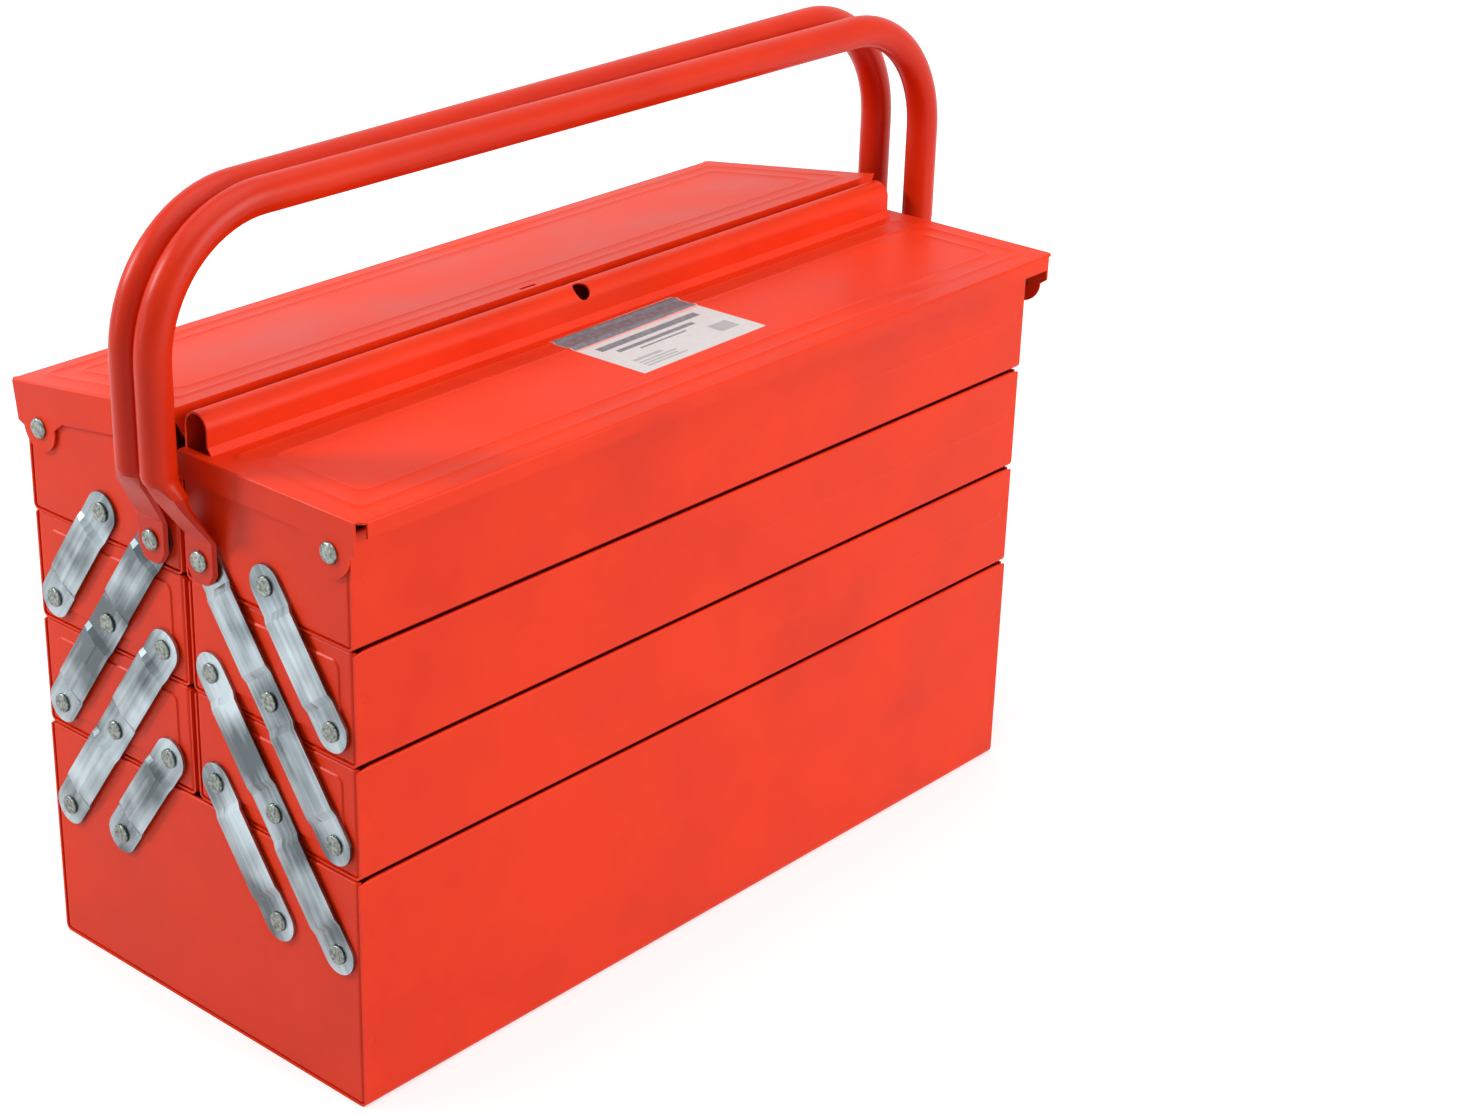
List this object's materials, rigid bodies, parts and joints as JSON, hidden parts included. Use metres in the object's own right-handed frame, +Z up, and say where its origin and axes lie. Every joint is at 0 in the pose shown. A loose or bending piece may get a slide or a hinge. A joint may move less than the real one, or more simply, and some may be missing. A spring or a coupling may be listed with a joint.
{
  "type": "cantilever toolbox",
  "caption": "Cantilever toolbox in painted sheet steel: two stacks of trays fold out on riveted links over a deep box, with hinged lids and twin bar handles.",
  "frame": {"origin": "on the floor, under the middle of the bottom box", "axes": "+X along the box towards its right end, -Y towards the front half, +Z up"},
  "size_m": [0.489, 0.216, 0.3675],
  "materials": {
    "red_paint": "glossy red powder coat on sheet steel",
    "zinc_plate": "bright bluish zinc plating on pressed steel",
    "rivet_steel": "zinc-plated steel rivets"
  },
  "bodies": {
    "box": {"box_pan": "red_paint", "box_left_end": "red_paint", "box_right_end": "red_paint", "box_rivets": "rivet_steel"},
    "front_lower_long_links": {"front_left_lower_long_link": "zinc_plate", "front_right_lower_long_link": "zinc_plate"},
    "front_lower_short_links": {"front_left_lower_short_link": "zinc_plate", "front_right_lower_short_link": "zinc_plate"},
    "front_upper_long_links": {"front_left_upper_long_link": "zinc_plate", "front_right_upper_long_link": "zinc_plate"},
    "front_upper_short_links": {"front_left_upper_short_link": "zinc_plate", "front_right_upper_short_link": "zinc_plate"},
    "front_tray_1": {"front_tray_1_pan": "red_paint", "front_tray_1_left_end": "red_paint", "front_tray_1_right_end": "red_paint", "front_tray_1_rivets": "rivet_steel"},
    "front_tray_2": {"front_tray_2_pan": "red_paint", "front_tray_2_left_end": "red_paint", "front_tray_2_right_end": "red_paint", "front_tray_2_rivets": "rivet_steel"},
    "front_tray_3": {"front_tray_3_pan": "red_paint", "front_tray_3_left_end": "red_paint", "front_tray_3_right_end": "red_paint", "front_tray_3_rivets": "rivet_steel", "front_lid_rivets": "rivet_steel", "front_handle_rivets": "rivet_steel"},
    "front_lid": {"front_lid": "red_paint"},
    "front_handle": {"front_handle": "red_paint"},
    "rear_lower_long_links": {"rear_left_lower_long_link": "zinc_plate", "rear_right_lower_long_link": "zinc_plate"},
    "rear_lower_short_links": {"rear_left_lower_short_link": "zinc_plate", "rear_right_lower_short_link": "zinc_plate"},
    "rear_upper_long_links": {"rear_left_upper_long_link": "zinc_plate", "rear_right_upper_long_link": "zinc_plate"},
    "rear_upper_short_links": {"rear_left_upper_short_link": "zinc_plate", "rear_right_upper_short_link": "zinc_plate"},
    "rear_tray_1": {"rear_tray_1_pan": "red_paint", "rear_tray_1_left_end": "red_paint", "rear_tray_1_right_end": "red_paint", "rear_tray_1_rivets": "rivet_steel"},
    "rear_tray_2": {"rear_tray_2_pan": "red_paint", "rear_tray_2_left_end": "red_paint", "rear_tray_2_right_end": "red_paint", "rear_tray_2_rivets": "rivet_steel"},
    "rear_tray_3": {"rear_tray_3_pan": "red_paint", "rear_tray_3_left_end": "red_paint", "rear_tray_3_right_end": "red_paint", "rear_tray_3_rivets": "rivet_steel", "rear_lid_rivets": "rivet_steel", "rear_handle_rivets": "rivet_steel"},
    "rear_lid": {"rear_lid": "red_paint"},
    "rear_handle": {"rear_handle": "red_paint"}
  },
  "joints": [
    {"name": "front_fold", "type": "hinge", "parent": "box", "child": "front_lower_long_links", "pos_m": [0, -0.0876, 0.0695], "axis": [1, 0, 0], "range_deg": [0, 71.27]},
    {"name": "front_lower_short_pivot", "type": "hinge", "parent": "box", "child": "front_lower_short_links", "pos_m": [0, -0.0514, 0.0695], "axis": [1, 0, 0], "range_deg": [0, 71.27]},
    {"name": "front_tray_1_pivot", "type": "hinge", "parent": "front_lower_long_links", "child": "front_tray_1", "pos_m": [0, -0.0514, 0.12], "axis": [1, 0, 0], "range_deg": [-71.27, 0]},
    {"name": "front_tray_2_pivot", "type": "hinge", "parent": "front_lower_long_links", "child": "front_tray_2", "pos_m": [0, -0.0152, 0.1705], "axis": [1, 0, 0], "range_deg": [-71.27, 0]},
    {"name": "front_upper_long_pivot", "type": "hinge", "parent": "front_tray_1", "child": "front_upper_long_links", "pos_m": [0, -0.0876, 0.12], "axis": [1, 0, 0], "range_deg": [0, 71.27]},
    {"name": "front_tray_3_pivot", "type": "hinge", "parent": "front_upper_long_links", "child": "front_tray_3", "pos_m": [0, -0.0152, 0.221], "axis": [1, 0, 0], "range_deg": [-71.27, 0]},
    {"name": "front_upper_short_pivot", "type": "hinge", "parent": "front_tray_2", "child": "front_upper_short_links", "pos_m": [0, -0.0876, 0.1705], "axis": [1, 0, 0], "range_deg": [0, 71.27]},
    {"name": "front_lid_hinge", "type": "hinge", "parent": "front_tray_3", "child": "front_lid", "pos_m": [0, -0.09, 0.2475], "axis": [1, 0, 0], "range_deg": [0, 84]},
    {"name": "front_handle_pivot", "type": "hinge", "parent": "front_tray_3", "child": "front_handle", "pos_m": [0, -0.0152, 0.221], "axis": [1, 0, 0], "range_deg": [0, 74]},
    {"name": "rear_fold", "type": "hinge", "parent": "box", "child": "rear_lower_long_links", "pos_m": [0, 0.0876, 0.0695], "axis": [-1, 0, 0], "range_deg": [0, 71.27]},
    {"name": "rear_lower_short_pivot", "type": "hinge", "parent": "box", "child": "rear_lower_short_links", "pos_m": [0, 0.0514, 0.0695], "axis": [-1, 0, 0], "range_deg": [0, 71.27]},
    {"name": "rear_tray_1_pivot", "type": "hinge", "parent": "rear_lower_long_links", "child": "rear_tray_1", "pos_m": [0, 0.0514, 0.12], "axis": [-1, 0, 0], "range_deg": [-71.27, 0]},
    {"name": "rear_tray_2_pivot", "type": "hinge", "parent": "rear_lower_long_links", "child": "rear_tray_2", "pos_m": [0, 0.0152, 0.1705], "axis": [-1, 0, 0], "range_deg": [-71.27, 0]},
    {"name": "rear_upper_long_pivot", "type": "hinge", "parent": "rear_tray_1", "child": "rear_upper_long_links", "pos_m": [0, 0.0876, 0.12], "axis": [-1, 0, 0], "range_deg": [0, 71.27]},
    {"name": "rear_tray_3_pivot", "type": "hinge", "parent": "rear_upper_long_links", "child": "rear_tray_3", "pos_m": [0, 0.0152, 0.221], "axis": [-1, 0, 0], "range_deg": [-71.27, 0]},
    {"name": "rear_upper_short_pivot", "type": "hinge", "parent": "rear_tray_2", "child": "rear_upper_short_links", "pos_m": [0, 0.0876, 0.1705], "axis": [-1, 0, 0], "range_deg": [0, 71.27]},
    {"name": "rear_lid_hinge", "type": "hinge", "parent": "rear_tray_3", "child": "rear_lid", "pos_m": [0, 0.09, 0.2475], "axis": [-1, 0, 0], "range_deg": [0, 76]},
    {"name": "rear_handle_pivot", "type": "hinge", "parent": "rear_tray_3", "child": "rear_handle", "pos_m": [0, 0.0152, 0.221], "axis": [-1, 0, 0], "range_deg": [0, 74]}
  ],
  "couplings": [
    {"joint": "front_lower_short_pivot", "follows": "front_fold", "ratio": 1},
    {"joint": "front_tray_1_pivot", "follows": "front_fold", "ratio": -1},
    {"joint": "front_tray_2_pivot", "follows": "front_fold", "ratio": -1},
    {"joint": "front_upper_long_pivot", "follows": "front_fold", "ratio": 1},
    {"joint": "front_tray_3_pivot", "follows": "front_fold", "ratio": -1},
    {"joint": "front_upper_short_pivot", "follows": "front_fold", "ratio": 1},
    {"joint": "rear_lower_short_pivot", "follows": "rear_fold", "ratio": 1},
    {"joint": "rear_tray_1_pivot", "follows": "rear_fold", "ratio": -1},
    {"joint": "rear_tray_2_pivot", "follows": "rear_fold", "ratio": -1},
    {"joint": "rear_upper_long_pivot", "follows": "rear_fold", "ratio": 1},
    {"joint": "rear_tray_3_pivot", "follows": "rear_fold", "ratio": -1},
    {"joint": "rear_upper_short_pivot", "follows": "rear_fold", "ratio": 1}
  ]
}
